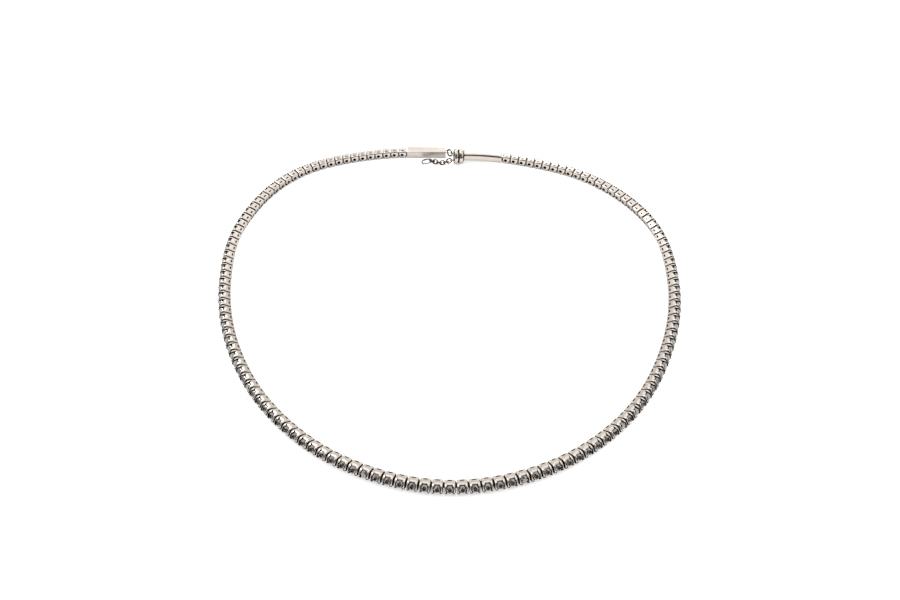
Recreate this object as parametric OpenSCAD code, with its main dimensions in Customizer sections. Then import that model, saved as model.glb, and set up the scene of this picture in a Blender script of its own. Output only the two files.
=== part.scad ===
// A line necklace: one row of small box links, each with a round stone,
// closed at the back by two plain bars, a barrel and a short safety chain.
// It lies on a flat surface with its stones outward. The clasp is at the back (+Y).
// Millimetres and degrees.

/* [Chain] */
// Number of links, each with one stone
link_count = 134; // [126:2:138]
// Distance from one hinge to the next
link_pitch = 2.9; // [2.8:0.05:3.1]
// Length of a link's body along the chain
link_length = 2.6; // [2.5:0.05:2.65]
// Height of a link
link_height = 2.7; // [2.6:0.05:2.9]
// Depth of a link, from the stone's side to the back
link_depth = 3.3; // [3.2:0.05:3.5]
// Radius of the arch of a link's outer face, above and below its middle
arch_round = 1.0; // [0.8:0.05:1.2]
// Radius of the two rounded edges at the back of a link
back_round = 0.45; // [0.35:0.05:0.5]

/* [Stones] */
// Diameter of a stone across its girdle
stone_diameter = 1.9; // [1.7:0.05:1.95]
// Clear space between the girdle and its seat
seat_gap = 0.1; // [0.1:0.01:0.15]
// Stones on each side of the front, set here as loose solids
stones_each_side = 51; // [1:1:51]

/* [Hinge] */
// Distance of the hinge pin from the link's end face
pin_inset = 0.45; // [0.42:0.01:0.5]
// Radius of the hinge pin
pin_radius = 0.16; // [0.14:0.01:0.18]
// Outer radius of the knuckle that goes round the pin
knuckle_radius = 0.45; // [0.42:0.01:0.46]
// Height of the knuckle
knuckle_height = 1.2; // [1.0:0.05:1.3]
// Clearance round the knuckle and inside it
hinge_gap = 0.13; // [0.1:0.01:0.14]
// Clearance above and below the knuckle
hinge_play = 0.16; // [0.14:0.01:0.18]

/* [Clasp] */
// Length of the left bar
left_bar_length = 14.0; // [12:0.1:14.2]
// Length of the right bar along its curve
right_bar_length = 14.0; // [12:0.1:14.2]
// Depth of a bar
bar_depth = 3.2; // [3.1:0.05:3.3]
// Radius of the right bar's curve
right_bar_bend = 60; // [50:5:90]
// Upward slope of the right bar toward the barrel
right_bar_slope = 5.3; // [5.2:0.05:5.4]
// Diameter of the barrel's two discs
barrel_diameter = 5.2; // [5:0.05:5.25]
// Thickness of the disc at the left
left_disc = 1.1; // [0.9:0.05:1.2]
// Width of the groove between the discs
barrel_groove = 0.55; // [0.4:0.05:0.6]
// Thickness of the disc at the right with its collar
right_disc = 1.6; // [1.4:0.05:1.7]
// Wire of the oval jump ring between the barrel and the left bar
jump_wire = 0.55; // [0.5:0.05:0.6]
// Outer width of the jump ring
jump_width = 2.8; // [2.6:0.05:2.9]

/* [Safety chain] */
// Wire of the safety chain's links
safety_wire = 0.46; // [0.42:0.02:0.48]
// Outer length of a safety chain link
safety_link_length = 2.34; // [2.3:0.02:2.38]
// Wire of the oval catch at the chain's end
catch_wire = 0.45; // [0.4:0.05:0.5]
// Outer length of the catch
catch_length = 4.0; // [3.8:0.1:4.2]
// Outer width of the catch
catch_width = 2.9; // [2.7:0.1:3]

/* [Hidden] */
$fn = 24;

// Moves the middle of the whole necklace to the origin
centre_shift = [0.012, 0.569, 0];

// Measured distance of the hinge line from the middle of the loop, in even steps
// of bearing from the clasp, going round by the left side
reach = [63.9, 68.7, 74.3, 71.6, 66.3, 63.7, 63.5, 64.6, 65.8, 65.6, 65.0, 64.8, 66.9, 70.5, 69.5, 65.1];
// Length of the hinge line that the clasp takes up, and the part left of the back
clasp_stretch = 34.8;
first_pin_at = 15.8;

// Lean of the links that turns the stones up: none beside the clasp, most at the sides
// and less again at the front, each from and to a bearing
side_lean = 44;
side_lean_over = [26, 100];
front_lean = 33;
front_lean_over = [110, 180];

// The hinge line runs behind the middle of the links
hinge_inward = 0.9;
back_y = link_depth / 2 - hinge_inward;
face_y = -link_depth / 2 - hinge_inward;
stone_x = link_length / 2 - pin_inset;
girdle_radius = stone_diameter / 2;
seat_radius = girdle_radius + seat_gap;
girdle_depth = 0.33;
beyond = 1;
half_height = link_height / 2;
end_gap = link_pitch - link_length;
links_per_side = link_count / 2;
first_left_stone = links_per_side - stones_each_side;
last_right_stone = links_per_side + stones_each_side - 1;

// Periodic Catmull-Rom blend of the reach table
reach_step = 360 / len(reach);
function reach_of(k) = reach[(k + len(reach)) % len(reach)];
function blend(a, b, c, d, u) =
    (2 * b + (c - a) * u + (2 * a - 5 * b + 4 * c - d) * u * u + (3 * b - a - 3 * c + d) * u * u * u) / 2;
function raw_reach(bearing) =
    let (k = floor(bearing / reach_step), u = bearing / reach_step - k)
    blend(reach_of(k - 1), reach_of(k), reach_of(k + 1), reach_of(k + 2), u);
function raw_point(bearing) =
    raw_reach(bearing % 360) * [-sin(bearing), cos(bearing)];

// Rows of [distance along the loop, bearing]
raw_track = [for (b = 0, s = 0; b <= 360; s = s + norm(raw_point(b + 1) - raw_point(b)), b = b + 1) [s, b]];
raw_length = raw_track[360][0];
// The loop grows with the chain, while the clasp keeps its size
growth = (link_count * link_pitch + clasp_stretch) / raw_length;

function bearing_at(distance) = lookup(distance / growth, raw_track);
function hinge_at(distance) = growth * raw_point(bearing_at(distance));
function pin_distance(i) = first_pin_at + i * link_pitch;
function pin_plan(i) = hinge_at(pin_distance(i));

function ease(u) = let (v = max(0, min(1, u))) v * v * (3 - 2 * v);
function along_ramp(x, over) = ease((x - over[0]) / (over[1] - over[0]));
function lean_at(bearing) =
    let (b = min(bearing, 360 - bearing))
    side_lean * along_ramp(b, side_lean_over) - (side_lean - front_lean) * along_ramp(b, front_lean_over);
function link_lean(i) = lean_at(bearing_at(pin_distance(i + 0.5)));
// Height of the hinge line when the link's lowest edge touches the surface
function hinge_height(lean) =
    (half_height - back_round) * cos(lean) + (link_depth / 2 - back_round) * sin(lean)
    + back_round - hinge_inward * sin(lean);
function heading(from, to) = atan2(to[1] - from[1], to[0] - from[0]);

// Bars: flush with the link, heading the way the chain runs at each end
bar_round = 0.2;
worn_round = 0.9;
bar_middle_y = -hinge_inward;
right_bar_height = 2.6;
left_bar_turn = 179.4;
left_bar_end = -pin_inset - end_gap - left_bar_length;
right_bar_turn = 175;
right_bar_inset = 0.3;
right_bar_angle = right_bar_length / right_bar_bend * 180 / PI;
// The tongue leaves the bar's end a little inward of its middle
tongue_inward = 0.6;
tongue_drop = 0.05;
right_bar_end = [right_bar_bend * sin(right_bar_angle) - right_bar_inset,
                 bar_middle_y + right_bar_bend * (1 - cos(right_bar_angle)) + tongue_inward, -tongue_drop];

// Barrel, its bore and its two eyes, the upper for the jump ring
barrel_length = left_disc + barrel_groove + right_disc;
groove_diameter = 4.2;
collar = 0.35;
tongue_radius = 0.9;
tongue_length = 2.4;
tongue_gap = 0.1;
eye_wire = 0.36;
eye_diameter = 1.9;
eye_radius = (eye_diameter - eye_wire) / 2;
eye_out = 0.6;
left_eye_offset = [0, 0, 0.4];
jump_eye_offset = [0, -0.9, 0.4];
safety_eye_offset = [0, 0.5, -1.3];

function turned(p, a) = [p[0] * cos(a) - p[1] * sin(a), p[0] * sin(a) + p[1] * cos(a), p[2]];
function tipped_up(p, a) = [p[0] * cos(a) - p[2] * sin(a), p[1], p[0] * sin(a) + p[2] * cos(a)];
function at_height(p, z) = [p[0], p[1], z];
function from_left_pin(p) = at_height(pin_plan(0), half_height) + turned(p, left_bar_turn);
function from_barrel(p) =
    at_height(pin_plan(link_count), half_height)
    + turned(tipped_up(right_bar_end + turned(p, right_bar_angle), right_bar_slope), right_bar_turn);
left_eye = from_left_pin([left_bar_end - eye_out, bar_middle_y, 0] + left_eye_offset);
jump_eye = from_barrel([tongue_gap + barrel_length + eye_out, 0, 0] + jump_eye_offset);
// The safety chain starts at the far side of the lower eye
safety_eye = from_barrel([tongue_gap + barrel_length + eye_out + eye_radius, 0, 0] + safety_eye_offset);

// The jump ring goes round the wire of both eyes, where they face each other
function direction(from, to) = (to - from) / norm(to - from);
eyes_line = direction(at_height(left_eye, 0), at_height(jump_eye, 0));
ring_from = left_eye + eye_radius * eyes_line;
ring_to = jump_eye - eye_radius * eyes_line;
ring_slack = 0.15;
ring_reach = (eye_wire + jump_wire) / 2 + ring_slack;
ring_length = round(100 * (norm(ring_to - ring_from) + 2 * ring_reach + jump_wire)) / 100;

// Safety chain, link by link from the barrel's lower eye: its heading, its roll, its
// outer width, and the share of the way down to the surface that it takes
safety_headings = [198, 183, 172, 166, 166, 171];
safety_rolls = [-45, 45, -45, 45, -45, 58];
safety_widths = [1.9, 1.8, 1.8, 1.8, 1.8, 2.1];
safety_fall = [0.5, 0.36, 0.235, 0, -0.135, -0.25];
safety_slack = 0.14;
safety_pitch = safety_link_length - 2 * safety_wire - safety_slack;
safety_rest = (safety_widths[3] - safety_wire) / 2 * sin(safety_rolls[3]) + safety_wire / 2;
function safety_dip(k) = asin(safety_fall[k] * (safety_eye[2] - safety_rest) / safety_pitch);
function safety_direction(k) =
    turned([cos(safety_dip(k)), 0, -sin(safety_dip(k))], safety_headings[k]);
function safety_joint(k) =
    k == 0 ? safety_eye - (eye_wire + safety_slack) / 2 * safety_direction(0)
           : safety_joint(k - 1) + safety_pitch * safety_direction(k - 1);

// The catch hangs in the wider end link, its far end on the surface
catch_slack = 0.29;
catch_near = safety_joint(len(safety_headings))
             - ((catch_wire - safety_slack) / 2 + catch_slack) * safety_direction(len(safety_headings) - 1);
catch_heading = 173;
catch_far = at_height(catch_near, 0) + turned([catch_length - catch_wire, 0, catch_wire / 2], catch_heading);

// Puts a link's own frame on the loop: X runs along the chain, -Y faces outward,
// and the hinge pin stands on the origin
module at_link(i) {
    here = pin_plan(i);
    lean = link_lean(i);
    translate([here[0], here[1], hinge_height(lean)])
        rotate([0, 0, heading(here, pin_plan(i + 1))])
            rotate([-lean, 0, 0])
                children();
}

// Bar along X with its front edges rounded to one radius and its back edges to another
module rounded_bar(length, y_front, y_back, height, front_radius, back_radius) {
    rotate([90, 0, 90])
        linear_extrude(length)
            union() {
                for (side = [-1, 1]) {
                    translate([y_front + front_radius, side * (height / 2 - front_radius)])
                        circle(front_radius);
                    translate([y_back - back_radius, side * (height / 2 - back_radius)])
                        circle(back_radius);
                }
                translate([y_front, front_radius - height / 2])
                    square([y_back - y_front - back_radius, height - 2 * front_radius]);
                translate([y_front + front_radius, -height / 2])
                    square([y_back - y_front - front_radius - back_radius, height]);
                translate([y_front + front_radius, back_radius - height / 2])
                    square([y_back - y_front - front_radius, height - 2 * back_radius]);
            }
}

// Pocket in the end of a link or bar where the neighbour's knuckle turns
module hinge_pocket() {
    round_knuckle = knuckle_radius + hinge_gap;
    tall = knuckle_height + 2 * hinge_play;
    translate([-pin_inset - beyond, -round_knuckle, -tall / 2])
        cube([pin_inset + beyond + round_knuckle, 2 * round_knuckle, tall]);
}

// Pin across the pocket, both ends held in its walls
module hinge_pin() {
    held = 0.15;
    length = knuckle_height + 2 * (hinge_play + held);
    translate([0, 0, -length / 2])
        cylinder(h = length, r = pin_radius);
}

// Knuckle round the pin at the origin, its neck soldered to the body at -X
module knuckle() {
    neck_width = 0.5;
    soldered = 0.1;
    neck_length = pin_inset + end_gap + soldered;
    difference() {
        translate([0, 0, -knuckle_height / 2])
            union() {
                cylinder(h = knuckle_height, r = knuckle_radius);
                translate([-neck_length, -neck_width / 2, 0])
                    cube([neck_length, neck_width, knuckle_height]);
            }
        translate([0, 0, -knuckle_height])
            cylinder(h = 2 * knuckle_height, r = pin_radius + hinge_gap);
    }
}

// One box link: two arched bars stand on either side of the stone, a well takes its
// point, a slot runs down through the link, the back has a round hole, and its lower
// corners are cut back so that the links can fold inward
module box_link() {
    between_bars = 1.44;
    bar_rise = 0.7;
    well_radius = 0.6;
    well_depth = 1.3;
    slot = [1.0, 0.45];
    slot_depth = 2.2;
    hole_radius = 0.42;
    hole_x = stone_x + 0.23;
    through = 2 * link_height;
    land_rise = 0.12;
    land_inset = 0.3;
    land_back = 0.5;
    heel_length = 0.36;
    heel_depth = 0.45;
    heel_height = 1.15;
    difference() {
        translate([-pin_inset, 0, 0])
            rounded_bar(link_length, face_y, back_y, link_height, arch_round, back_round);
        translate([stone_x, face_y - beyond, 0])
            rotate([-90, 0, 0]) {
                cylinder(h = bar_rise + beyond, r = seat_radius);
                cylinder(h = well_depth + beyond, r = well_radius);
            }
        translate([stone_x - between_bars / 2, face_y - beyond, -link_height])
            cube([between_bars, bar_rise + beyond, through]);
        translate([stone_x - slot[0] / 2, face_y + slot_depth, -link_height])
            cube([slot[0], slot[1], through]);
        translate([hole_x, face_y + well_depth, 0])
            rotate([-90, 0, 0])
                cylinder(h = link_depth, r = hole_radius);
        for (end = [-pin_inset, link_length - pin_inset])
            translate([end - heel_length, back_y - heel_depth, -link_height])
                cube([2 * heel_length, heel_depth + beyond, half_height + heel_height]);
        hinge_pocket();
    }
    hinge_pin();
    // Raised land on the end face, which narrows the gap to the next link
    translate([link_length - pin_inset, face_y + bar_rise + land_inset, land_inset - half_height])
        cube([land_rise, link_depth - bar_rise - land_inset - land_back, link_height - 2 * land_inset]);
    translate([link_pitch, 0, 0])
        knuckle();
}

// Round stone looking to -Y: flat table, a crown and a pavilion of facets
module cut_stone(sides = 12) {
    table_radius = 0.56 * girdle_radius;
    crown = 0.31;
    girdle = 0.06;
    pavilion = 0.8;
    turn = 360 / sides;
    function ring(radius, y, offset) =
        [for (k = [0:sides - 1]) [radius * cos((k + offset) * turn), y, radius * sin((k + offset) * turn)]];
    points = concat(
        ring(table_radius, -crown, 0.5),
        ring(girdle_radius, 0, 0),
        ring(girdle_radius, girdle, 0),
        [[0, girdle + pavilion, 0]]);
    next = [for (k = [0:sides - 1]) (k + 1) % sides];
    faces = concat(
        [[for (k = [0:sides - 1]) sides - 1 - k]],
        [for (k = [0:sides - 1]) [k, sides + next[k], sides + k]],
        [for (k = [0:sides - 1]) [k, next[k], sides + next[k]]],
        [for (k = [0:sides - 1]) [sides + k, sides + next[k], 2 * sides + next[k], 2 * sides + k]],
        [for (k = [0:sides - 1]) [2 * sides + k, 2 * sides + next[k], 3 * sides]]);
    polyhedron(points, faces);
}

module links(first, last) {
    for (i = [first:last])
        at_link(i)
            box_link();
}

module stones(first, last) {
    for (i = [first:last])
        at_link(i)
            translate([stone_x, face_y + girdle_depth, 0])
                cut_stone();
}

// Closed oval of round wire in the XY plane, long along X
module oval_ring(length, width, wire) {
    bend = (width - wire) / 2;
    straight = (length - width) / 2;
    for (side = [-1, 1]) {
        translate([side * straight, 0, 0])
            rotate([0, 0, side * 90 - 180])
                rotate_extrude(angle = 180)
                    translate([bend, 0])
                        circle(wire / 2);
        translate([-straight, side * bend, 0])
            rotate([0, 90, 0])
                cylinder(h = 2 * straight, r = wire / 2);
    }
}

// Small round eye soldered to an end face at the origin, standing out to +X
module eye(roll) {
    translate([eye_out, 0, 0])
        rotate([roll, 0, 0])
            rotate_extrude()
                translate([(eye_diameter - eye_wire) / 2, 0])
                    circle(eye_wire / 2);
}

module links_left() {
    color("gainsboro")
        links(0, links_per_side - 1);
}

module links_right() {
    color("gainsboro")
        links(links_per_side, link_count - 1);
}

module stones_left() {
    color("aliceblue")
        stones(first_left_stone, links_per_side - 1);
}

module stones_right() {
    color("aliceblue")
        stones(links_per_side, last_right_stone);
}

// The left bar ends in a knuckle at the first link and an eye at the other end
module bar_left() {
    color("silver")
        translate([pin_plan(0)[0], pin_plan(0)[1], half_height])
            rotate([0, 0, left_bar_turn]) {
                translate([left_bar_end, 0, 0])
                    rounded_bar(left_bar_length, bar_middle_y - bar_depth / 2, bar_middle_y + bar_depth / 2,
                                link_height, bar_round, bar_round);
                knuckle();
                translate([left_bar_end, bar_middle_y, 0] + left_eye_offset)
                    rotate([0, 0, 180])
                        eye(0);
            }
}

module at_right_pin() {
    translate([pin_plan(link_count)[0], pin_plan(link_count)[1], half_height])
        rotate([0, 0, right_bar_turn])
            children();
}

module at_right_bar() {
    at_right_pin()
        rotate([0, -right_bar_slope, 0])
            children();
}

// Frame at the far end of the right bar, with X on the barrel's axis
module at_right_bar_end() {
    at_right_bar()
        translate(right_bar_end)
            rotate([0, 0, right_bar_angle])
                children();
}

// Section of the right bar, its outer side to +X. The inner upper edge is well rounded
module bar_section() {
    flat_depth = bar_depth - 2 * bar_round;
    flat_height = right_bar_height - 2 * bar_round;
    difference() {
        union() {
            for (y = [-1, 1], z = [-1, 1])
                translate([y * flat_depth / 2, z * flat_height / 2])
                    circle(bar_round);
            square([bar_depth, flat_height], center = true);
            square([flat_depth, right_bar_height], center = true);
        }
        translate([-bar_depth / 2 - beyond, right_bar_height / 2 - worn_round])
            square(worn_round + beyond);
    }
    translate([worn_round - bar_depth / 2, right_bar_height / 2 - worn_round])
        circle(worn_round);
}

// The right bar takes the last link's knuckle, curves with the loop, slopes up
// and ends in a round tongue inside the barrel
module bar_right() {
    sunk = 0.2;
    color("silver") {
        difference() {
            at_right_bar()
                translate([-right_bar_inset, bar_middle_y + right_bar_bend, 0])
                    rotate([0, 0, -90])
                        rotate_extrude(angle = right_bar_angle, $fn = 96)
                            translate([right_bar_bend, 0])
                                bar_section();
            at_right_pin()
                hinge_pocket();
        }
        at_right_pin()
            hinge_pin();
        at_right_bar_end()
            translate([-sunk, 0, 0])
                rotate([0, 90, 0])
                    cylinder(h = tongue_length + sunk, r = tongue_radius);
    }
}

// Two discs with a groove between them and a collar at the bar, bored for the tongue
module barrel_clasp() {
    color("lightgray")
        at_right_bar_end()
            translate([tongue_gap, 0, 0]) {
                difference() {
                    rotate([0, 90, 0]) {
                        translate([0, 0, collar])
                            cylinder(h = right_disc - collar, d = barrel_diameter);
                        cylinder(h = barrel_length, d = groove_diameter);
                        translate([0, 0, right_disc + barrel_groove])
                            cylinder(h = left_disc, d = barrel_diameter);
                    }
                    translate([-beyond, 0, 0])
                        rotate([0, 90, 0])
                            cylinder(h = tongue_length + beyond, r = tongue_radius + tongue_gap);
                }
                translate([barrel_length, 0, 0] + jump_eye_offset)
                    eye(0);
                translate([barrel_length, 0, 0] + safety_eye_offset)
                    eye(-safety_rolls[0]);
            }
}

// Lays what it holds along the line between two points, middle to middle
module along(from, to, roll) {
    line = to - from;
    translate((from + to) / 2)
        rotate([0, -asin(line[2] / norm(line)), atan2(line[1], line[0])])
            rotate([roll, 0, 0])
                children();
}

module jump_ring() {
    color("silver")
        along(ring_from, ring_to, 90)
            oval_ring(ring_length, jump_width, jump_wire);
}

module safety_link(k) {
    along(safety_joint(k), safety_joint(k + 1), safety_rolls[k])
        oval_ring(safety_link_length, safety_widths[k], safety_wire);
}

module safety_chain() {
    color("silver")
        for (k = [0:len(safety_headings) - 1])
            safety_link(k);
}

module safety_catch() {
    color("silver")
        along(catch_near, catch_far, 0)
            oval_ring(catch_length, catch_width, catch_wire);
}

module placed() {
    translate(centre_shift)
        children();
}

placed() links_left();
placed() links_right();
placed() stones_left();
placed() stones_right();
placed() bar_left();
placed() bar_right();
placed() barrel_clasp();
placed() jump_ring();
placed() safety_chain();
placed() safety_catch();
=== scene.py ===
import bpy
import bmesh
from math import radians, sin, cos, asin, atan2, floor, pi, tau
from mathutils import Vector, Matrix, Euler


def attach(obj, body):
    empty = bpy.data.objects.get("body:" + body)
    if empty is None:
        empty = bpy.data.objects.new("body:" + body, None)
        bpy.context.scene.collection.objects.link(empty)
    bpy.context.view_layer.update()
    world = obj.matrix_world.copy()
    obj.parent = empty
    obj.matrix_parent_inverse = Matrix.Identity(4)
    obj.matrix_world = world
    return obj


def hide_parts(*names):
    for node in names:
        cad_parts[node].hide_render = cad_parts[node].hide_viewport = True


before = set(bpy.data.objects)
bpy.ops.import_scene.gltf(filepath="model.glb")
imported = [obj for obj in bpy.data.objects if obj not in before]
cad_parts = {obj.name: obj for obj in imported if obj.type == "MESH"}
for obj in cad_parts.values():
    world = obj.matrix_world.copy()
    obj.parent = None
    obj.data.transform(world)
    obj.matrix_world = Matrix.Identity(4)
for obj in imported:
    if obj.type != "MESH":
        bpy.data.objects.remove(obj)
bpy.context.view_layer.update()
mm = 0.001  # the pieces below are laid out in millimetres and put into metres at the end
print("frame loaded")

# helpers


def linearColour(hexColour):
    channels = [int(hexColour[i:i + 2], 16) / 255 for i in (1, 3, 5)]
    return tuple(c / 12.92 if c <= 0.04045 else ((c + 0.055) / 1.055) ** 2.4 for c in channels) + (1.0,)


def addNode(tree, kind, inputs=None, **settings):
    node = tree.nodes.new(kind)
    for name, value in settings.items():
        setattr(node, name, value)
    for name, value in (inputs or {}).items():
        if isinstance(value, bpy.types.NodeSocket):
            tree.links.new(value, node.inputs[name])
        else:
            node.inputs[name].default_value = value
    return node


def newMaterial(name):
    material = bpy.data.materials.new(name)
    material.use_nodes = True
    material.node_tree.nodes.clear()
    return material, material.node_tree


def newPiece(name, verts, faces, materials, flat=False, creaseAngle=32, faceMaterial=None):
    # verts are in millimetres in the CAD frame
    mesh = bpy.data.meshes.new(name)
    mesh.from_pydata([Vector(v) * mm for v in verts], [], faces)
    for material in materials:
        mesh.materials.append(material)
    if faceMaterial:
        mesh.polygons.foreach_set("material_index", faceMaterial)
    mesh.polygons.foreach_set("use_smooth", [not flat] * len(mesh.polygons))
    mesh.update()
    if not flat:
        mesh.set_sharp_from_angle(angle=radians(creaseAngle))
    mesh.validate()
    piece = bpy.data.objects.new(name, mesh)
    bpy.context.scene.collection.objects.link(piece)
    return piece


class Shape:
    # collects closed shells of vertices and faces, each with a material index
    def __init__(self):
        self.verts, self.faces, self.marks = [], [], []

    def add(self, verts, faces, matrix=None, mark=0):
        start = len(self.verts)
        self.verts += [matrix @ Vector(v) if matrix else Vector(v) for v in verts]
        self.faces += [tuple(start + i for i in f) for f in faces]
        self.marks += mark if isinstance(mark, list) else [mark] * len(faces)
        return self

    def piece(self, name, materials, **options):
        return newPiece(name, self.verts, self.faces, materials, faceMaterial=self.marks, **options)


def loft(rings):
    # closed shell through rings of equal count, capped at both ends
    count = len(rings[0])
    verts = [v for ring in rings for v in ring]
    faces = []
    for r in range(len(rings) - 1):
        for k in range(count):
            n = (k + 1) % count
            faces.append((r * count + k, (r + 1) * count + k, (r + 1) * count + n, r * count + n))
    faces.append(tuple(range(count)))
    faces.append(tuple(reversed(range((len(rings) - 1) * count, len(rings) * count))))
    return verts, faces


def tube(path, radius, sides=10):
    # closed ring of round wire along a closed path that lies flat in XY
    verts, faces = [], []
    count = len(path)
    for i, p in enumerate(path):
        before, after = path[i - 1], path[(i + 1) % count]
        t = Vector((after[0] - before[0], after[1] - before[1], 0)).normalized()
        side = Vector((-t.y, t.x, 0))
        for k in range(sides):
            a = tau * k / sides
            verts.append(Vector(p) + radius * (cos(a) * side + sin(a) * Vector((0, 0, 1))))
    for i in range(count):
        for k in range(sides):
            j, n = (i + 1) % count, (k + 1) % sides
            faces.append((i * sides + k, i * sides + n, j * sides + n, j * sides + k))
    return verts, faces


def ovalPath(length, width, wire, arcSteps=10):
    bend, straight = (width - wire) / 2, (length - width) / 2
    path = []
    for side in (1, -1):
        for k in range(arcSteps + 1):
            a = -pi / 2 + pi * k / arcSteps + (0 if side == 1 else pi)
            path.append((side * straight + bend * cos(a), bend * sin(a), 0))
    return path


def lathe(profile, steps=48):
    # profile of (x, radius) turned round X, closed from its last point back to its first
    verts, faces = [], []
    count = len(profile)
    for s in range(steps):
        a = tau * s / steps
        verts += [(x, r * cos(a), r * sin(a)) for x, r in profile]
    for s in range(steps):
        for k in range(count):
            n, t = (k + 1) % count, (s + 1) % steps
            faces.append((s * count + k, s * count + n, t * count + n, t * count + k))
    return verts, faces


def cone(startRadius, endRadius, start, end, steps=16):
    # along Z
    ring = [(cos(tau * k / steps), sin(tau * k / steps)) for k in range(steps)]
    return loft([[(r * x, r * y, z) for x, y in ring] for r, z in ((endRadius, end), (startRadius, start))])


def cylinder(radius, start, end, steps=16):
    return cone(radius, radius, start, end, steps)


def block(low, high):
    x0, y0, z0 = low
    x1, y1, z1 = high
    return loft([[(x, y0, z0), (x, y1, z0), (x, y1, z1), (x, y0, z1)] for x in (x1, x0)])


def moved(shell, matrix):
    return [matrix @ Vector(v) for v in shell[0]], shell[1]


def barSection(yFront, yBack, height, rounds, inset=0.0, arcSteps=5):
    # outline of a bar seen along X, counter-clockwise, shrunk all round by inset
    # rounds: the corners' radii at back top, front top, front bottom and back bottom
    corners = [
        (yBack, height / 2, -1, -1),
        (yFront, height / 2, 1, -1),
        (yFront, -height / 2, 1, 1),
        (yBack, -height / 2, -1, 1)]
    outline = []
    for quarter, ((y, z, inY, inZ), r) in enumerate(zip(corners, rounds)):
        for k in range(arcSteps + 1):
            a = radians(90 * (quarter + k / arcSteps))
            outline.append((y + inY * r + (r - inset) * cos(a), z + inZ * r + (r - inset) * sin(a)))
    return outline


# camera

# where the photograph was taken from: distance and target in millimetres, focal length in the photo's pixels
camera = dict(elevation=48, distance=204.75, targetX=0.561, targetY=-5.047,
              focalPixels=690, photoWidth=900, sensorWidth=36, clipStart=0.01)
cameraData = bpy.data.cameras.new("camera")
cameraData.sensor_width = camera["sensorWidth"]
cameraData.lens = camera["focalPixels"] / camera["photoWidth"] * camera["sensorWidth"]
cameraData.clip_start = camera["clipStart"]
cameraObject = bpy.data.objects.new("camera", cameraData)
bpy.context.scene.collection.objects.link(cameraObject)
bpy.context.scene.camera = cameraObject
up = radians(camera["elevation"])
cameraObject.location = Vector((
    camera["targetX"],
    camera["targetY"] - camera["distance"] * cos(up),
    camera["distance"] * sin(up))) * mm
cameraObject.rotation_euler = (pi / 2 - up, 0, 0)
print("camera placed")

# materials


def mottled(tree, pattern, first, second):
    # a colour mix's own sockets go by number, since its other kinds of value have the same names
    mix = addNode(tree, "ShaderNodeMix", {
        "Factor": pattern.outputs["Fac"], 6: linearColour(first), 7: linearColour(second)}, data_type="RGBA")
    return mix.outputs[2]


def whiteGold(name, smoothest, roughest):
    # 18 carat white gold, rhodium plated: a warm pale grey mirror, a little soft from fine polishing lines
    material, tree = newMaterial(name)
    place = addNode(tree, "ShaderNodeTexCoord").outputs["Object"]
    # polishing lines are a few hundredths of a millimetre wide: drawn at 0.15 mm so that they show
    lines = addNode(tree, "ShaderNodeTexNoise", {
        "Vector": place, "Scale": 6500.0, "Detail": 3.0, "Roughness": 0.6})
    patches = addNode(tree, "ShaderNodeTexNoise", {"Vector": place, "Scale": 900.0, "Detail": 2.0})
    tone = mottled(tree, patches, "#B1AAA3", "#A7A099")
    gloss = addNode(tree, "ShaderNodeMapRange", {
        "Value": lines.outputs["Fac"], "To Min": smoothest, "To Max": roughest})
    relief = addNode(tree, "ShaderNodeBump", {
        "Height": lines.outputs["Fac"], "Strength": 0.08, "Distance": 0.00001})
    shader = addNode(tree, "ShaderNodeBsdfPrincipled", {
        "Base Color": tone, "Metallic": 1.0, "Roughness": gloss.outputs["Result"],
        "Normal": relief.outputs["Normal"], "Specular Tint": linearColour("#BFBAB4")})
    addNode(tree, "ShaderNodeOutputMaterial", {"Surface": shader.outputs["BSDF"]})
    return material


# links, curved bar and barrel, polished
polishedGold = whiteGold("polishedWhiteGold", 0.12, 0.3)

# the straight bar, finely brushed: its wide near face shows no sharp mirror image of the catch
satinGold = whiteGold("satinWhiteGold", 0.36, 0.5)

# the same alloy as cast, dull where no wheel reaches inside seats, slots and hinges; its near-black colour is
# painted shade for those recesses, the hinge gaps and the undersides
shadedCastGold, tree = newMaterial("shadedCastWhiteGold")
place = addNode(tree, "ShaderNodeTexCoord").outputs["Object"]
grain = addNode(tree, "ShaderNodeTexNoise", {"Vector": place, "Scale": 5000.0, "Detail": 4.0})
tone = mottled(tree, grain, "#26211D", "#463F38")
relief = addNode(tree, "ShaderNodeBump", {
    "Height": grain.outputs["Fac"], "Strength": 0.3, "Distance": 0.00002})
shadedCastShader = addNode(tree, "ShaderNodeBsdfPrincipled", {
    "Base Color": tone, "Metallic": 1.0, "Roughness": 0.42, "Normal": relief.outputs["Normal"],
    "Specular Tint": linearColour("#7A736C")})
addNode(tree, "ShaderNodeOutputMaterial", {"Surface": shadedCastShader.outputs["BSDF"]})

# drawn wire of the same alloy, soldered: coloured much darker than the links and a little softer
wireGold, tree = newMaterial("darkWhiteGoldWire")
place = addNode(tree, "ShaderNodeTexCoord").outputs["Object"]
wear = addNode(tree, "ShaderNodeTexNoise", {"Vector": place, "Scale": 1800.0, "Detail": 3.0})
tone = mottled(tree, wear, "#2E2823", "#6E655D")
gloss = addNode(tree, "ShaderNodeMapRange", {"Value": wear.outputs["Fac"], "To Min": 0.16, "To Max": 0.34})
wireShader = addNode(tree, "ShaderNodeBsdfPrincipled", {
    "Base Color": tone, "Metallic": 1.0, "Roughness": gloss.outputs["Result"],
    "Specular Tint": linearColour("#9A938C")})
addNode(tree, "ShaderNodeOutputMaterial", {"Surface": wireShader.outputs["BSDF"]})

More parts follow.
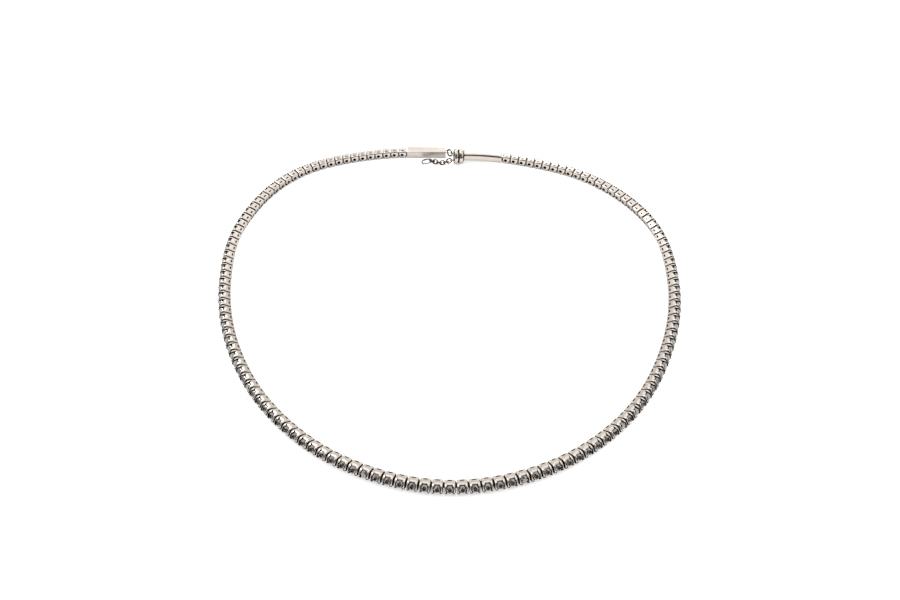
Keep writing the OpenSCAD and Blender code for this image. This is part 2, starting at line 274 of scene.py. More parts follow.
# diamond, round brilliant cut: the high refraction makes it flash, and the grey stands for the dark studio
# that the real stones mirror
diamond, tree = newMaterial("diamond")
diamondShader = addNode(tree, "ShaderNodeBsdfPrincipled", {
    "Base Color": linearColour("#685D50"), "Roughness": 0.0, "IOR": 2.42, "Transmission Weight": 1.0})
addNode(tree, "ShaderNodeOutputMaterial", {"Surface": diamondShader.outputs["BSDF"]})
print("materials made")

# the line that the hinges follow

# reach: from the middle to the hinge line every 22.5 degrees, from the back by way of the left
# sideLeanOver, frontLeanOver: bearings from the back between which the links' lean changes
loop = dict(
    linkCount=134, pitch=2.9, shift=(0.012, 0.569), claspStretch=34.8, firstPin=15.8,
    sideLean=44, sideLeanOver=(26, 100), frontLean=33, frontLeanOver=(110, 180),
    reach=[63.9, 68.7, 74.3, 71.6, 66.3, 63.7, 63.5, 64.6, 65.8, 65.6, 65.0, 64.8, 66.9, 70.5, 69.5, 65.1])
link = dict(length=2.6, height=2.7, depth=3.3, archRound=1.0, backRound=0.45, hingeInward=0.9, pinInset=0.45)


def rawReach(bearing):
    reach, step = loop["reach"], 360 / len(loop["reach"])
    k = floor(bearing / step)
    u = bearing / step - k
    a, b, c, d = (reach[(k + i) % len(reach)] for i in (-1, 0, 1, 2))
    return (2 * b + (c - a) * u + (2 * a - 5 * b + 4 * c - d) * u * u + (3 * b - a - 3 * c + d) * u ** 3) / 2


def rawPoint(bearing):
    r = rawReach(bearing % 360)
    return Vector((-r * sin(radians(bearing)), r * cos(radians(bearing))))


track = [0.0]
for bearing in range(360):
    track.append(track[-1] + (rawPoint(bearing + 1) - rawPoint(bearing)).length)
growth = (loop["linkCount"] * loop["pitch"] + loop["claspStretch"]) / track[-1]


def bearingAt(distance):
    d = distance / growth
    k = max(i for i in range(360) if track[i] <= d)
    return k + (d - track[k]) / (track[k + 1] - track[k])


def pinPlan(i):
    p = growth * rawPoint(bearingAt(loop["firstPin"] + i * loop["pitch"]))
    return Vector((p.x + loop["shift"][0], p.y + loop["shift"][1], 0))


def alongRamp(x, over):
    v = max(0.0, min(1.0, (x - over[0]) / (over[1] - over[0])))
    return v * v * (3 - 2 * v)


def linkLean(i):
    # upright beside the clasp, stones turned up most at the sides
    bearing = bearingAt(loop["firstPin"] + (i + 0.5) * loop["pitch"])
    b = min(bearing, 360 - bearing)
    less = (loop["sideLean"] - loop["frontLean"]) * alongRamp(b, loop["frontLeanOver"])
    return radians(loop["sideLean"] * alongRamp(b, loop["sideLeanOver"]) - less)


def hingeHeight(lean):
    back = link["backRound"]
    below = (link["height"] / 2 - back) * cos(lean)
    return below + (link["depth"] / 2 - back - link["hingeInward"]) * sin(lean) + back


pins = [pinPlan(i) for i in range(loop["linkCount"] + 1)]
linkSpots = []  # place and turn of each link: X along the chain, -Y outward
for i in range(loop["linkCount"]):
    here, following, lean = pins[i], pins[i + 1], linkLean(i)
    turn = Euler((-lean, 0, atan2(following.y - here.y, following.x - here.x)))
    linkSpots.append((Vector((here.x, here.y, hingeHeight(lean))), turn))
print("hinge line laid out:", len(linkSpots), "links")

# one box link

# depths go inward from the outer face; the two limits below and at the ends are parts of a face's normal,
# past which a face is painted dark as painted shade
linkCuts = dict(
    seatRadius=1.05, wellRadius=0.6, wellDepth=1.3, barRise=0.7, betweenBars=1.44, coreRound=0.7,
    slotLength=1.0, slotWidth=0.45, slotDepth=2.2, holeRadius=0.42, holeOffset=0.23, holeEnd=4,
    sinkRadius=0.6, sinkInner=0.9, sinkDepth=0.16, landRise=0.12, landInset=0.3, landBack=0.5, landSunk=0.05,
    heelLength=0.36, heelDepth=0.45, heelHeight=1.15, endRound=0.3, shadeBelow=-0.42, shadeEnds=0.95, past=1)
hinge = dict(pinRadius=0.16, knuckleRadius=0.45, knuckleHeight=1.2, gap=0.13, play=0.16,
             neckWidth=0.5, neckShare=0.98, neckSunk=0.02, held=0.15, soldered=0.1)
faceY = -link["depth"] / 2 - link["hingeInward"]
backY = link["depth"] / 2 - link["hingeInward"]
stoneX = link["length"] / 2 - link["pinInset"]
endGap = loop["pitch"] - link["length"]
aboutX = Matrix.Rotation(radians(-90), 4, "X")  # stands a Z cylinder along Y


def bareObject(name, verts, faces, mark=0):
    mesh = bpy.data.meshes.new(name)
    mesh.from_pydata([tuple(v) for v in verts], [], faces)
    for material in (polishedGold, shadedCastGold):
        mesh.materials.append(material)
    mesh.polygons.foreach_set("material_index", [mark] * len(faces))
    mesh.update()
    made = bpy.data.objects.new(name, mesh)
    bpy.context.scene.collection.objects.link(made)
    return made


def barRings(x0, x1, edge, section):
    # ends rounded over in four steps
    steps = [(0.0, 1.0), (0.13, 0.5), (0.5, 0.13), (1.0, 0.0)]
    rings = [(x0 + edge * out, edge * drop) for out, drop in steps]
    rings += [(x1 - edge * out, edge * drop) for out, drop in reversed(steps)]
    return [[(x, y, z) for y, z in section(inset)] for x, inset in reversed(rings)]


def carve(body, cutters):
    for cutter in cutters:
        cut = body.modifiers.new("cut", "BOOLEAN")
        cut.operation = "DIFFERENCE"
        cut.solver = "EXACT"
        cut.object = cutter
    bpy.context.view_layer.update()
    result = bpy.data.meshes.new_from_object(body.evaluated_get(bpy.context.evaluated_depsgraph_get()))
    for spent in [body, *cutters]:
        bpy.data.objects.remove(spent)
    return result


def hingePocket(turned=Matrix()):
    inner, tall = hinge["knuckleRadius"] + hinge["gap"], hinge["knuckleHeight"] + 2 * hinge["play"]
    room = block((-link["pinInset"] - linkCuts["past"], -inner, -tall / 2), (inner, inner, tall / 2))
    return bareObject("pocket", *moved(room, turned), mark=1)


def hingePin():
    half = hinge["knuckleHeight"] / 2 + hinge["play"] + hinge["held"]
    return cylinder(hinge["pinRadius"], -half, half, 12)


def knuckle():
    # a ring round the pin and the neck that carries it
    half = hinge["knuckleHeight"] / 2
    outer, inner = hinge["knuckleRadius"], hinge["pinRadius"] + hinge["gap"]
    ring = lathe([(-half, outer), (half, outer), (half, inner), (-half, inner)], 14)
    upright = Matrix.Rotation(radians(90), 4, "Y")
    neckEnd = -link["pinInset"] - endGap - hinge["soldered"]
    neckSide, neckTop = hinge["neckWidth"] / 2, half * hinge["neckShare"]
    neck = block((neckEnd, -neckSide, -neckTop), (-inner - hinge["neckSunk"], neckSide, neckTop))
    return Shape().add(*ring, matrix=upright).add(*neck)


def linkSection(y0, archRound, inset=0.0):
    rounds = [link["backRound"], archRound, archRound, link["backRound"]]
    return barSection(y0, backY, link["height"], rounds, inset)


def makeLink():
    c = linkCuts
    past, high = c["past"], link["height"]
    startX, landX = -link["pinInset"], link["length"] - link["pinInset"]
    body = bareObject("link", *loft(barRings(
        startX, landX, c["endRound"], lambda inset: linkSection(faceY, link["archRound"], inset))))
    # between the two bars the arch is cut back to a lower core
    lowX, highX = stoneX - c["betweenBars"] / 2, stoneX + c["betweenBars"] / 2
    coreOutline = linkSection(faceY + c["barRise"], c["coreRound"])
    core = bareObject("core", *loft([
        [(x, y, z) for y, z in coreOutline] for x in (highX + past, lowX - past)]))
    notch = carve(bareObject("notch", *block((lowX, faceY - past, -high), (highX, 0, high))), [core])
    stand = Matrix.Translation((stoneX, faceY, 0)) @ aboutX
    seat = moved(cylinder(c["seatRadius"], -past, c["barRise"], 20), stand)
    well = moved(cylinder(c["wellRadius"], -past, c["wellDepth"], 16), stand)
    slotX, slotY = c["slotLength"] / 2, faceY + c["slotDepth"]
    slot = block((stoneX - slotX, slotY, -high), (stoneX + slotX, slotY + c["slotWidth"], high))
    atHole = Matrix.Translation((c["holeOffset"], 0, 0)) @ stand
    hole = moved(cylinder(c["holeRadius"], c["wellDepth"], c["holeEnd"]), atHole)
    sink = moved(cone(
        c["holeRadius"] * c["sinkInner"], c["sinkRadius"],
        link["depth"] - c["sinkDepth"], link["depth"] + 0.01), atHole)
    # the faces cut by seat, well, slot, hole, sink, pocket and heel take the dark cast gold: painted shade in
    # these hollows
    cutters = [
        bareObject("notch", [v.co for v in notch.vertices], [tuple(f.vertices) for f in notch.polygons]),
        bareObject("seat", *seat, mark=1),
        bareObject("well", *well, mark=1),
        bareObject("slot", *slot, mark=1),
        bareObject("hole", *hole, mark=1),
        bareObject("sink", *sink, mark=1),
        hingePocket()]
    # the inner lower corners are cut back, so that the links can fold inward
    for end in (startX, landX):
        heel = block(
            (end - c["heelLength"], backY - c["heelDepth"], -high),
            (end + c["heelLength"], backY + past, c["heelHeight"] - link["height"] / 2))
        cutters.append(bareObject("heel", *heel, mark=1))
    cut = carve(body, cutters)
    whole = Shape()
    whole.verts = [v.co.copy() for v in cut.vertices]
    whole.faces = [tuple(p.vertices) for p in cut.polygons]
    # painted shade: the ends inside the hinge gaps and the side that the link lies on, where no polishing
    # wheel reaches, are painted dark
    for p in cut.polygons:
        shadedUnpolished = abs(p.normal.x) > c["shadeEnds"] or p.normal.z < c["shadeBelow"]
        whole.marks.append(1 if p.material_index or shadedUnpolished else 0)
    # the pin, the land and the next knuckle take the dark cast gold: painted shade in the hinge gap
    whole.add(*hingePin(), mark=1)
    landTop = link["height"] / 2 - c["landInset"]
    land = block(
        (landX - c["landSunk"], faceY + c["barRise"] + c["landInset"], -landTop),
        (landX + c["landRise"], backY - c["landBack"], landTop))
    whole.add(*land, mark=1)
    nextKnuckle = knuckle()
    whole.add(nextKnuckle.verts, nextKnuckle.faces, matrix=Matrix.Translation((loop["pitch"], 0, 0)), mark=1)
    return whole


linkPattern = makeLink().piece("linkPattern", [polishedGold, shadedCastGold])
print("link made:", len(linkPattern.data.polygons), "faces")

# one brilliant-cut stone

stone = dict(diameter=1.9, table=0.56, crown=0.31, girdle=0.06, pavilion=0.8,
             starReach=0.78, lowerReach=0.25, girdleDepth=0.33)


def brilliant():
    # table toward -Y, middle of the girdle's upper edge at the origin
    s = stone
    radius = s["diameter"] / 2
    tableRadius = s["table"] * radius
    starRadius, lowerRadius = s["starReach"] * radius, s["lowerReach"] * radius
    starRise = s["crown"] * (radius - starRadius * cos(pi / 8)) / (radius - tableRadius)
    lowerDrop = s["pavilion"] * (1 - lowerRadius * cos(pi / 8) / radius)
    verts, faces = [], []

    def ring(r, y, count, offset=0.0):
        start = len(verts)
        for k in range(count):
            a = tau * (k + offset) / count
            verts.append((r * cos(a), y, r * sin(a)))
        return [start + k for k in range(count)]

    table = ring(tableRadius, -s["crown"], 8)
    star = ring(starRadius, -starRise, 8, 0.5)
    upper = ring(radius, 0, 16)
    lower = ring(radius, s["girdle"], 16)
    waist = ring(lowerRadius, s["girdle"] + lowerDrop, 8, 0.5)
    culet = len(verts)
    verts.append((0, s["girdle"] + s["pavilion"], 0))
    faces.append(tuple(table))
    for k in range(8):
        n, g = (k + 1) % 8, 2 * k
        faces.append((table[k], star[k], table[n]))
        faces.append((table[k], star[k - 1], upper[g], star[k]))
        faces.append((star[k], upper[g], upper[g + 1]))
        faces.append((star[k], upper[g + 1], upper[(g + 2) % 16]))
        faces.append((lower[g], waist[k], lower[g + 1]))
        faces.append((lower[g + 1], waist[k], lower[(g + 2) % 16]))
        faces.append((culet, waist[k], lower[g], waist[k - 1]))
    for k in range(16):
        n = (k + 1) % 16
        faces.append((upper[k], lower[k], lower[n], upper[n]))
    return verts, faces


stonePattern = Shape().add(*brilliant()).piece("stonePattern", [diamond], flat=True)
mesh = bmesh.new()
mesh.from_mesh(stonePattern.data)
bmesh.ops.recalc_face_normals(mesh, faces=mesh.faces)
mesh.to_mesh(stonePattern.data)
mesh.free()
print("stone made:", len(stonePattern.data.polygons), "facets")

# links and stones along the loop


def repeatTree(name, withMaterials):
    # puts the pattern on every point of a mesh, turned as its "turn" says, plus a seeded spin and wobble
    tree = bpy.data.node_groups.new(name, "GeometryNodeTree")
    tree.interface.new_socket("Geometry", in_out="INPUT", socket_type="NodeSocketGeometry")
    sockets = {"Pattern": "Object", "Spin": "Float", "Wobble": "Float", "Seed": "Int"}
    for label, kind in sockets.items():
        tree.interface.new_socket(label, in_out="INPUT", socket_type="NodeSocket" + kind)
    tree.interface.new_socket("Geometry", in_out="OUTPUT", socket_type="NodeSocketGeometry")
    given = addNode(tree, "NodeGroupInput").outputs
    pattern = addNode(tree, "GeometryNodeObjectInfo", {"Object": given["Pattern"]})
    turn = addNode(tree, "GeometryNodeInputNamedAttribute", {"Name": "turn"}, data_type="FLOAT_VECTOR")
    base = addNode(tree, "FunctionNodeEulerToRotation", {"Euler": turn.outputs["Attribute"]})
    least = addNode(tree, "ShaderNodeVectorMath", {0: (-1, -1, -1), 1: (0, 0, 0)}, operation="MULTIPLY")
    most = addNode(tree, "ShaderNodeCombineXYZ", {
        "X": given["Wobble"], "Y": given["Spin"], "Z": given["Wobble"]})
    tree.links.new(most.outputs["Vector"], least.inputs[1])
    chance = addNode(tree, "FunctionNodeRandomValue", {
        "Min": least.outputs["Vector"], "Max": most.outputs["Vector"], "Seed": given["Seed"]},
        data_type="FLOAT_VECTOR")
    extra = addNode(tree, "FunctionNodeEulerToRotation", {"Euler": chance.outputs["Value"]})
    turned = addNode(tree, "FunctionNodeRotateRotation", {
        "Rotation": base.outputs["Rotation"], "Rotate By": extra.outputs["Rotation"]}, rotation_space="LOCAL")
    points = addNode(tree, "GeometryNodeMeshToPoints", {"Mesh": given["Geometry"]})
    copies = addNode(tree, "GeometryNodeInstanceOnPoints", {
        "Points": points.outputs["Points"], "Instance": pattern.outputs["Geometry"],
        "Rotation": turned.outputs["Rotation"]})
    solid = addNode(tree, "GeometryNodeRealizeInstances", {"Geometry": copies.outputs["Instances"]})
    result = solid.outputs["Geometry"]
    for material, attribute in withMaterials:
        chosen = True
        if attribute:
            flag = addNode(tree, "GeometryNodeInputNamedAttribute", {"Name": attribute}, data_type="BOOLEAN")
            chosen = flag.outputs["Attribute"]
        painted = addNode(tree, "GeometryNodeSetMaterial", {
            "Geometry": result, "Selection": chosen, "Material": material})
        result = painted.outputs["Geometry"]
    addNode(tree, "NodeGroupOutput", {"Geometry": result})
    return tree


def repeatAlong(name, spots, pattern, tree, spin=0.0, wobble=0.0, seed=0):
    path = bpy.data.meshes.new(name + "Path")
    path.from_pydata([p * mm for p, turn in spots], [], [])
    turns = path.attributes.new("turn", "FLOAT_VECTOR", "POINT")
    turns.data.foreach_set("vector", [c for p, turn in spots for c in turn])
    carrier = bpy.data.objects.new(name + "Path", path)
    bpy.context.scene.collection.objects.link(carrier)
    nodes = carrier.modifiers.new("repeat", "NODES")
    nodes.node_group = tree
    values = {"Pattern": pattern, "Spin": spin, "Wobble": wobble, "Seed": seed}
    for item in tree.interface.items_tree:
        if item.in_out == "INPUT" and item.name in values:
            nodes[item.identifier] = values[item.name]
    bpy.context.view_layer.update()
    made = bpy.data.meshes.new_from_object(carrier.evaluated_get(bpy.context.evaluated_depsgraph_get()))
    bpy.data.objects.remove(carrier)
    made.name = name
    piece = bpy.data.objects.new(name, made)
    bpy.context.scene.collection.objects.link(piece)
    return piece


# this flag marks the faces painted dark as painted shade, for the dark cast gold on every repeated link
recess = linkPattern.data.attributes.new("recess", "BOOLEAN", "FACE")
recess.data.foreach_set("value", [p.material_index == 1 for p in linkPattern.data.polygons])
linkTree = repeatTree("linksAlongHinges", [(polishedGold, None), (shadedCastGold, "recess")])
stoneTree = repeatTree("stonesInSeats", [(diamond, None)])
half = loop["linkCount"] // 2
inSeat = Vector((stoneX, faceY + stone["girdleDepth"], 0))
stoneSpots = [(p + turn.to_matrix() @ inSeat, turn) for p, turn in linkSpots]
setting = dict(spin=pi, wobble=radians(2.5))  # stones are set at any spin, and never quite level

links = {
    "links_left": repeatAlong("linksLeft", linkSpots[:half], linkPattern, linkTree),
    "links_right": repeatAlong("linksRight", linkSpots[half:], linkPattern, linkTree)}
stones = {
    "stones_left": repeatAlong("stonesLeft", stoneSpots[:half], stonePattern, stoneTree, seed=3, **setting),
    "stones_right": repeatAlong("stonesRight", stoneSpots[half:], stonePattern, stoneTree, seed=8, **setting)}
for pattern in (linkPattern, stonePattern):
    bpy.data.objects.remove(pattern)
print("links and stones repeated")

# the two bars

# turns and slope in degrees; rightBend is the radius that the right bar is bent to
bars = dict(
    length=14.0, depth=3.2, edgeRound=0.2, wornRound=0.9, endRound=0.18, leftTurn=179.4,
    rightHeight=2.6, rightTurn=175, rightSlope=5.3, rightBend=60, rightInset=0.3, bendSteps=14,
    tongueRadius=0.9, tongueLength=2.4, tongueSunk=0.2, tongueInward=0.6, tongueDrop=0.05)
# offsets are from the middle of the end that carries the eye
eyeSize = dict(wire=0.36, diameter=1.9, out=0.6, steps=24, safetyRoll=45,
               leftOffset=(0, 0, 0.4), jumpOffset=(0, -0.9, 0.4), safetyOffset=(0, 0.5, -1.3))
eyeRadius = (eyeSize["diameter"] - eyeSize["wire"]) / 2
barMiddleY = -link["hingeInward"]
leftBarEnd = -link["pinInset"] - endGap - bars["length"]
halfUp = Vector((0, 0, link["height"] / 2))
atLeftBar = Matrix.Translation(pins[0] + halfUp) @ Matrix.Rotation(radians(bars["leftTurn"]), 4, "Z")
atRightPin = Matrix.Translation(pins[-1] + halfUp) @ Matrix.Rotation(radians(bars["rightTurn"]), 4, "Z")
slope = Matrix.Rotation(radians(-bars["rightSlope"]), 4, "Y")
atRightBar = atRightPin @ slope
bendAngle = bars["length"] / bars["rightBend"]


def eyeRing(roll, at):
    turns = [tau * k / eyeSize["steps"] for k in range(eyeSize["steps"])]
    path = [(eyeSize["out"] + eyeRadius * cos(a), eyeRadius * sin(a), 0) for a in turns]
    ring = tube(path, eyeSize["wire"] / 2)
    return moved(ring, Matrix.Translation(at) @ Matrix.Rotation(radians(roll), 4, "X"))


def plainSection(height, rounds, inset):
    front, back = barMiddleY - bars["depth"] / 2, barMiddleY + bars["depth"] / 2
    return barSection(front, back, height, rounds, inset)


leftBar = Shape().add(*loft(barRings(
    leftBarEnd, leftBarEnd + bars["length"], bars["endRound"],
    lambda inset: plainSection(link["height"], [bars["edgeRound"]] * 4, inset))), matrix=atLeftBar)
firstKnuckle = knuckle()
# the knuckle takes the dark cast gold: painted shade in the hinge
leftBar.add(firstKnuckle.verts, firstKnuckle.faces, matrix=atLeftBar, mark=1)
eyePlace = Vector((leftBarEnd, barMiddleY, 0)) + Vector(eyeSize["leftOffset"])
eyeEnd = Matrix.Translation(eyePlace) @ Matrix.Rotation(pi, 4, "Z")
leftBar.add(*eyeRing(0, (0, 0, 0)), matrix=atLeftBar @ eyeEnd)
leftBarPiece = leftBar.piece("leftBar", [satinGold, shadedCastGold])


def bentPoint(x, y, z):
    # bends the bar's straight length round its centre of curvature, on the inner side
    a = (x + bars["rightInset"]) / bars["rightBend"]
    r = bars["rightBend"] - (y - barMiddleY)
    return Vector((r * sin(a) - bars["rightInset"], barMiddleY + bars["rightBend"] - r * cos(a), z))


def rightBarRings():
    x0, x1 = -bars["rightInset"], bars["length"] - bars["rightInset"]
    edge, steps = bars["endRound"], bars["bendSteps"]
    rounds = [bars["wornRound"]] + [bars["edgeRound"]] * 3
    ends = [(0.0, 1.0), (0.3, 0.29), (1.0, 0.0)]
    stops = [(x0 + edge * out, edge * drop) for out, drop in ends]
    stops += [(x0 + (x1 - x0) * k / steps, 0.0) for k in range(1, steps)]
    stops += [(x1 - edge * out, edge * drop) for out, drop in reversed(ends)]
    return [[bentPoint(x, y, z) for y, z in plainSection(bars["rightHeight"], rounds, inset)]
            for x, inset in reversed(stops)]


# the hinge pocket's cut faces and the pin take the dark cast gold: painted shade in the hinge
rightBody = carve(bareObject("rightBar", *loft(rightBarRings())), [hingePocket(slope.inverted())])
rightBar = Shape()
rightBar.add(
    [v.co for v in rightBody.vertices], [tuple(p.vertices) for p in rightBody.polygons],
    matrix=atRightBar, mark=[p.material_index for p in rightBody.polygons])
rightBar.add(*hingePin(), matrix=atRightPin, mark=1)
barrelStart = bentPoint(bars["length"] - bars["rightInset"], barMiddleY, 0)
barrelStart += Vector((0, bars["tongueInward"], -bars["tongueDrop"]))
atBarrel = atRightBar @ Matrix.Translation(barrelStart) @ Matrix.Rotation(bendAngle, 4, "Z")
alongX = Matrix.Rotation(radians(90), 4, "Y")
tongue = cylinder(bars["tongueRadius"], -bars["tongueSunk"], bars["tongueLength"], 24)
rightBar.add(*tongue, matrix=atBarrel @ alongX)
rightBarPiece = rightBar.piece("rightBar", [polishedGold, shadedCastGold])
print("bars made")

# barrel, jump ring, safety chain and catch

# the two discs and the groove follow each other from the right bar's end
barrel = dict(diameter=5.2, rightDisc=1.6, collar=0.35, groove=0.55, leftDisc=1.1, grooveDiameter=4.2,
              tongueGap=0.1, rim=0.16, axisHole=0.002, steps=48)


def roundedDisc(x0, x1, radius, rim, steps=3):
    angles = [pi / 2 * k / steps for k in range(steps + 1)]
    left = [(x0 + rim * (1 - cos(a)), radius - rim * (1 - sin(a))) for a in angles]
    right = [(x1 - rim * (1 - cos(a)), radius - rim * (1 - sin(a))) for a in reversed(angles)]
    return left + right


b = barrel
barrelLength = b["rightDisc"] + b["groove"] + b["leftDisc"]
bore, boreDepth = bars["tongueRadius"] + b["tongueGap"], bars["tongueLength"]
discRadius, grooveRadius = b["diameter"] / 2, b["grooveDiameter"] / 2
grooveEnd = b["rightDisc"] + b["groove"]
outline = [(0, bore), (0, grooveRadius), (b["collar"], grooveRadius)]
outline += roundedDisc(b["collar"], b["rightDisc"], discRadius, b["rim"])
outline += [(b["rightDisc"], grooveRadius), (grooveEnd, grooveRadius)]
outline += roundedDisc(grooveEnd, barrelLength, discRadius, b["rim"])
outline += [(barrelLength, b["axisHole"]), (boreDepth, b["axisHole"]), (boreDepth, bore)]
inBarrel = atBarrel @ Matrix.Translation((b["tongueGap"], 0, 0))
# the collar, the groove and the walls beside them are dull, and painted dark as painted shade
shadedStretches = [(-0.01, b["collar"] + 0.01), (b["rightDisc"] - 0.01, grooveEnd + 0.01)]
shadedMarks = []
for x, r in outline:
    below = r < discRadius - b["rim"] / 2
    shadedMarks.append(1 if below and any(low < x < high for low, high in shadedStretches) else 0)
barrelShape = Shape().add(*lathe(outline, b["steps"]), matrix=inBarrel, mark=shadedMarks * b["steps"])
farEnd = Vector((barrelLength, 0, 0))
barrelShape.add(*eyeRing(0, farEnd + Vector(eyeSize["jumpOffset"])), matrix=inBarrel)
barrelShape.add(*eyeRing(eyeSize["safetyRoll"], farEnd + Vector(eyeSize["safetyOffset"])), matrix=inBarrel)
barrelPiece = barrelShape.piece("barrelClasp", [polishedGold, shadedCastGold])

leftEye = atLeftBar @ (Vector((leftBarEnd - eyeSize["out"], barMiddleY, 0)) + Vector(eyeSize["leftOffset"]))
jumpEye = inBarrel @ (Vector((barrelLength + eyeSize["out"], 0, 0)) + Vector(eyeSize["jumpOffset"]))
safetyOut = barrelLength + eyeSize["out"] + eyeRadius
safetyEye = inBarrel @ (Vector((safetyOut, 0, 0)) + Vector(eyeSize["safetyOffset"]))


def along(start, end, roll):
    # lays an oval's length on the line from start to end
    line = end - start
    return (Matrix.Translation((start + end) / 2) @ Matrix.Rotation(atan2(line.y, line.x), 4, "Z")
            @ Matrix.Rotation(-asin(line.z / line.length), 4, "Y") @ Matrix.Rotation(radians(roll), 4, "X"))


jump = dict(wire=0.55, width=2.8, slack=0.15, roll=90)
eyesLine = Vector((jumpEye.x - leftEye.x, jumpEye.y - leftEye.y, 0)).normalized()
ringFrom, ringTo = leftEye + eyeRadius * eyesLine, jumpEye - eyeRadius * eyesLine
pastEye = (eyeSize["wire"] + jump["wire"]) / 2 + jump["slack"]
ringLength = (ringTo - ringFrom).length + 2 * pastEye + jump["wire"]
jumpRing = tube(ovalPath(ringLength, jump["width"], jump["wire"]), jump["wire"] / 2)
jumpPiece = Shape().add(*jumpRing, matrix=along(ringFrom, ringTo, jump["roll"])).piece("jumpRing", [wireGold])

# headings: which way each link of the chain runs; fall: the share of the eye's height that it comes down
safety = dict(
    wire=0.46, linkLength=2.34, slack=0.14, headings=[198, 183, 172, 166, 166, 171],
    rolls=[-45, 45, -45, 45, -45, 58], widths=[1.9, 1.8, 1.8, 1.8, 1.8, 2.1],
    fall=[0.5, 0.36, 0.235, 0, -0.135, -0.25])
catch = dict(wire=0.45, length=4.0, width=2.9, slack=0.29, heading=173, arcSteps=14, sides=12)
safetyPitch = safety["linkLength"] - 2 * safety["wire"] - safety["slack"]
restingHalf = (safety["widths"][3] - safety["wire"]) / 2
safetyRest = restingHalf * sin(radians(safety["rolls"][3])) + safety["wire"] / 2


def safetyDirection(k):
    dip = asin(safety["fall"][k] * (safetyEye.z - safetyRest) / safetyPitch)
    a = radians(safety["headings"][k])
    return Vector((cos(dip) * cos(a), cos(dip) * sin(a), -sin(dip)))


safetyCount = len(safety["headings"])
meetings = [safetyEye - (eyeSize["wire"] + safety["slack"]) / 2 * safetyDirection(0)]
for k in range(safetyCount):
    meetings.append(meetings[-1] + safetyPitch * safetyDirection(k))
safetyShape = Shape()
for k in range(safetyCount):
    wireLink = tube(ovalPath(safety["linkLength"], safety["widths"][k], safety["wire"]), safety["wire"] / 2)
    safetyShape.add(*wireLink, matrix=along(meetings[k], meetings[k + 1], safety["rolls"][k]))
safetyPiece = safetyShape.piece("safetyChain", [wireGold])

catchBack = (catch["wire"] - safety["slack"]) / 2 + catch["slack"]
catchNear = meetings[-1] - catchBack * safetyDirection(safetyCount - 1)
a = radians(catch["heading"])
catchSpan = catch["length"] - catch["wire"]
catchFar = Vector((catchNear.x, catchNear.y, 0))
catchFar += Vector((catchSpan * cos(a), catchSpan * sin(a), catch["wire"] / 2))
catchPath = ovalPath(catch["length"], catch["width"], catch["wire"], catch["arcSteps"])
catchShape = Shape().add(
    *tube(catchPath, catch["wire"] / 2, catch["sides"]), matrix=along(catchNear, catchFar, 0))
catchPiece = catchShape.piece("safetyCatch", [wireGold])
print("clasp made")

# frame

stands = {
    **links, **stones, "bar_left": leftBarPiece, "bar_right": rightBarPiece, "barrel_clasp": barrelPiece,
    "jump_ring": jumpPiece, "safety_chain": safetyPiece, "safety_catch": catchPiece}
for node, piece in stands.items():
    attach(piece, "root")
    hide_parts(node)

# floor and light

# matt white paper with a little glow of its own, which stands for a floor lit brighter than the necklace
paper, tree = newMaterial("whitePaper")
paperShader = addNode(tree, "ShaderNodeBsdfPrincipled", {
    "Base Color": linearColour("#F7F7F7"), "Roughness": 0.9, "Specular IOR Level": 0.1,
    "Emission Color": (1, 1, 1, 1), "Emission Strength": 0.5})
addNode(tree, "ShaderNodeOutputMaterial", {"Surface": paperShader.outputs["BSDF"]})
floorHalf = 4
floorCorners = [(x * floorHalf, y * floorHalf, 0) for x, y in ((-1, -1), (1, -1), (1, 1), (-1, 1))]
floorMesh = bpy.data.meshes.new("floor")
floorMesh.from_pydata(floorCorners, [], [(0, 1, 2, 3)])
floorMesh.materials.append(paper)
floorPiece = bpy.data.objects.new("floor", floorMesh)
bpy.context.scene.collection.objects.link(floorPiece)


def areaLight(name, place, size, watts):
    data = bpy.data.lights.new(name, "AREA")
    data.shape = "SQUARE"
    data.size = size
    data.energy = watts
    lamp = bpy.data.objects.new(name, data)
    bpy.context.scene.collection.objects.link(lamp)
    lamp.location = place
    lamp.rotation_euler = (Vector((0, 0, 0)) - Vector(place)).to_track_quat("-Z", "Y").to_euler()


# the soft box, high at the back left
areaLight("keyLight", (-0.35, 0.35, 0.8), 0.25, 3.0)
# a white card behind, which the sloping right bar mirrors
areaLight("cardLight", (0.16, 0.71, 0.457), 0.2, 0.36)

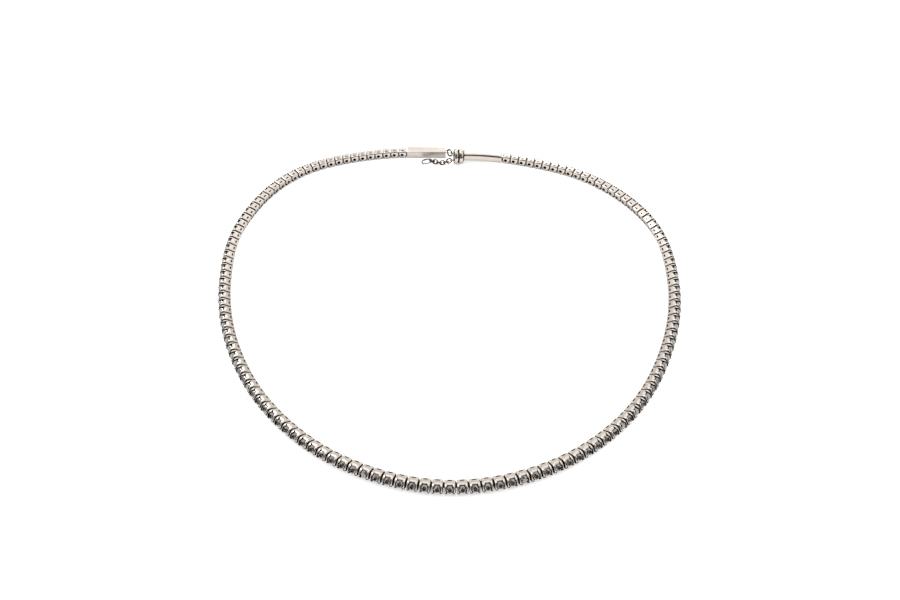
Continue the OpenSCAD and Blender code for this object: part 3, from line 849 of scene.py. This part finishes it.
# a light tent of bright white cloth, dark near the table on the camera's side, with the dark opening
# that the camera looks through
# cloth, skirt, farSkirt and opening are strengths; skirtEnds, skirtTop and clothFrom are places on a sphere
# of radius one
tent = dict(cloth=2.0, skirt=0.08, farSkirt=1.5, skirtEnds=(-0.25, 0.35), skirtTop=0.2, clothFrom=0.5,
            opening=0.03, openingAngle=19, openingEdge=22)
world = bpy.data.worlds.new("lightTent")
bpy.context.scene.world = world
world.use_nodes = True
tree = world.node_tree
tree.nodes.clear()
outward = addNode(tree, "ShaderNodeTexCoord").outputs["Generated"]
side = addNode(tree, "ShaderNodeSeparateXYZ", {"Vector": outward})
skirt = addNode(tree, "ShaderNodeMapRange", {
    "Value": side.outputs["Y"], "From Min": tent["skirtEnds"][0], "From Max": tent["skirtEnds"][1],
    "To Min": tent["skirt"], "To Max": tent["farSkirt"]}, interpolation_type="SMOOTHSTEP")
cloth = addNode(tree, "ShaderNodeMapRange", {
    "Value": side.outputs["Z"], "From Min": tent["skirtTop"], "From Max": tent["clothFrom"],
    "To Min": skirt.outputs["Result"], "To Max": tent["cloth"]}, interpolation_type="SMOOTHSTEP")
toCamera = Vector((0, -cos(up), sin(up)))
facing = addNode(tree, "ShaderNodeVectorMath", {0: outward, 1: toCamera}, operation="DOT_PRODUCT")
innerAngle = radians(tent["openingAngle"])
outerAngle = radians(tent["openingAngle"] + tent["openingEdge"])
around = addNode(tree, "ShaderNodeMapRange", {
    "Value": facing.outputs["Value"], "From Min": cos(outerAngle), "From Max": cos(innerAngle),
    "To Min": 1.0, "To Max": tent["opening"]}, interpolation_type="SMOOTHSTEP")
glow = addNode(tree, "ShaderNodeMath", {
    0: cloth.outputs["Result"], 1: around.outputs["Result"]}, operation="MULTIPLY")
sky = addNode(tree, "ShaderNodeBackground", {"Color": (1, 1, 1, 1), "Strength": glow.outputs["Value"]})
addNode(tree, "ShaderNodeOutputWorld", {"Surface": sky.outputs["Background"]})
bpy.context.scene.view_settings.view_transform = "Standard"
print("studio lit")
